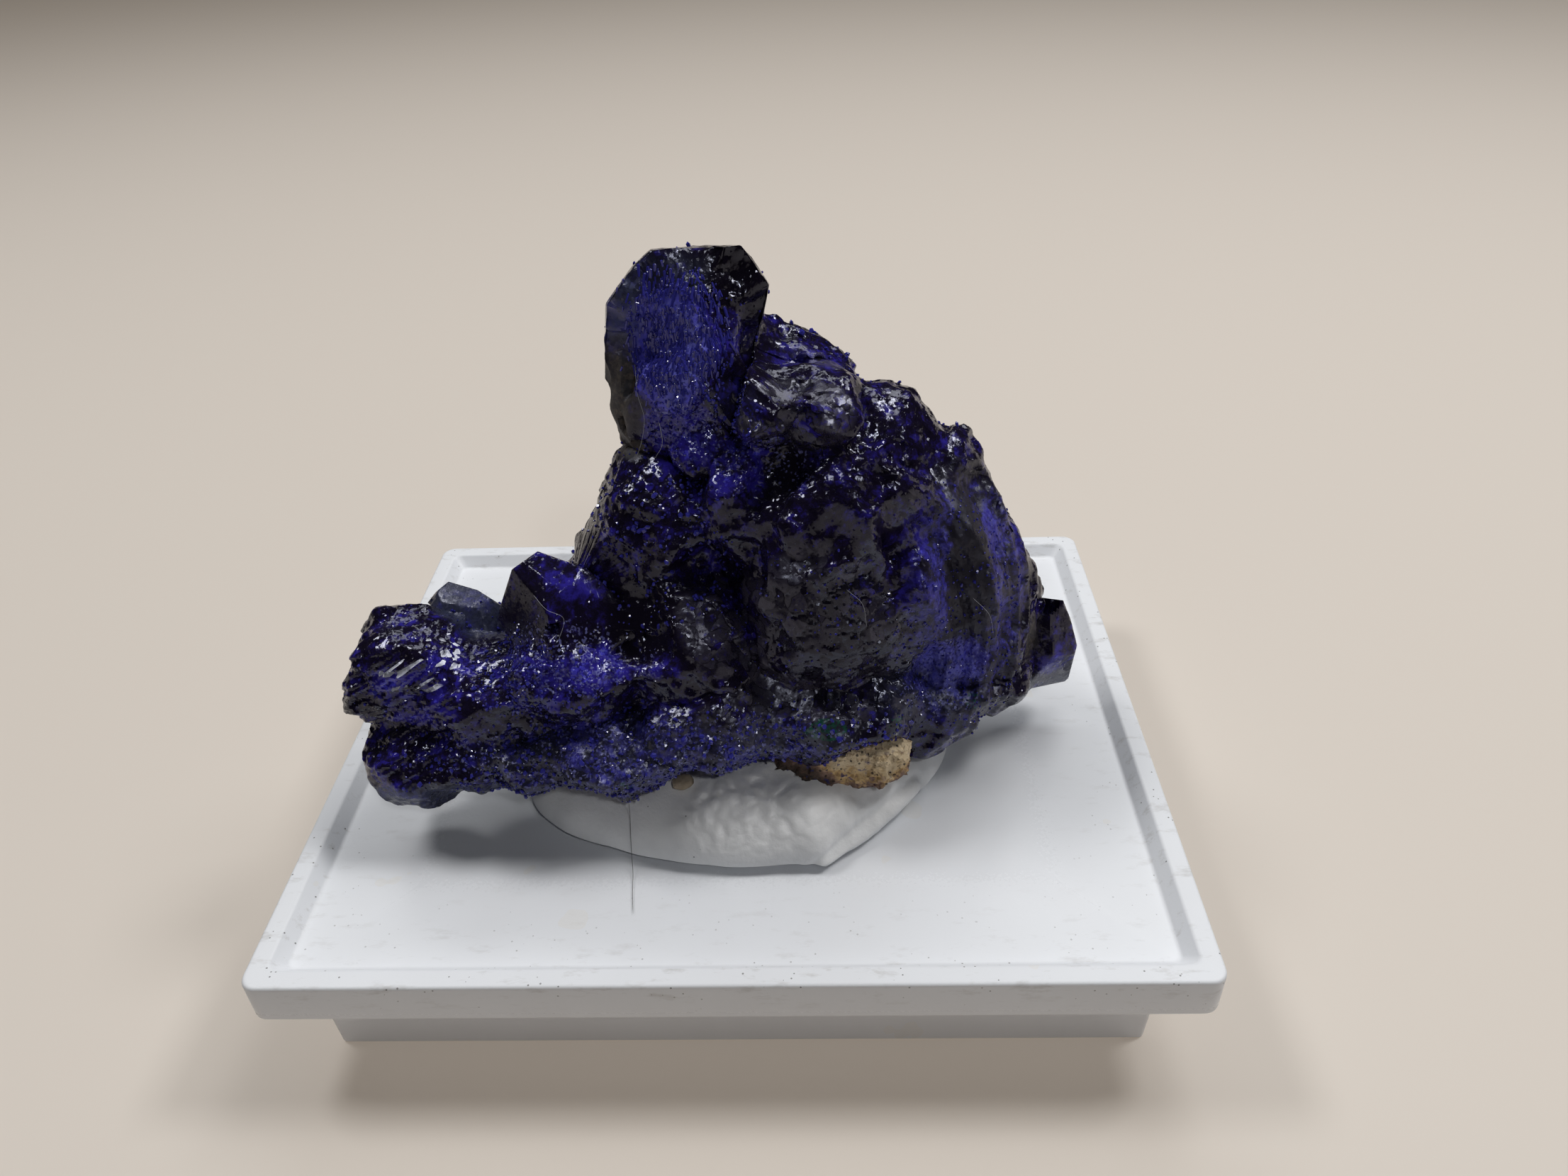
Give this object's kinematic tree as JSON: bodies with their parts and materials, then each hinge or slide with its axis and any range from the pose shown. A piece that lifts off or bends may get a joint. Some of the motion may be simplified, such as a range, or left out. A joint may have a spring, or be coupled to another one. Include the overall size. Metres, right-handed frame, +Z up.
{
  "type": "azurite specimen",
  "caption": "Deep blue azurite crystal cluster with a tower, a ribbed dome and a striated arm, held by white putty on a shallow white plastic box base.",
  "frame": {"origin": "middle of the underside of the box base, at the centre of the whole part's bounding box", "axes": "+Z up; +X to the right along the wide side of the base, from the arm to the dome; +Y away from the front of the specimen"},
  "size_m": [0.05, 0.041, 0.0386],
  "materials": {
    "azurite": "glassy crystal faces with powdery royal-blue patches",
    "matrix_rock": "dull earthy rock, cream to ochre with brown spots",
    "putty": "soft satin, creased",
    "white_plastic": "moulded, satin, lightly scuffed"
  },
  "bodies": {
    "root": {"azurite_cluster": "azurite", "matrix_rock": "matrix_rock", "mounting_putty": "putty", "box_base": "white_plastic"}
  },
  "joints": []
}
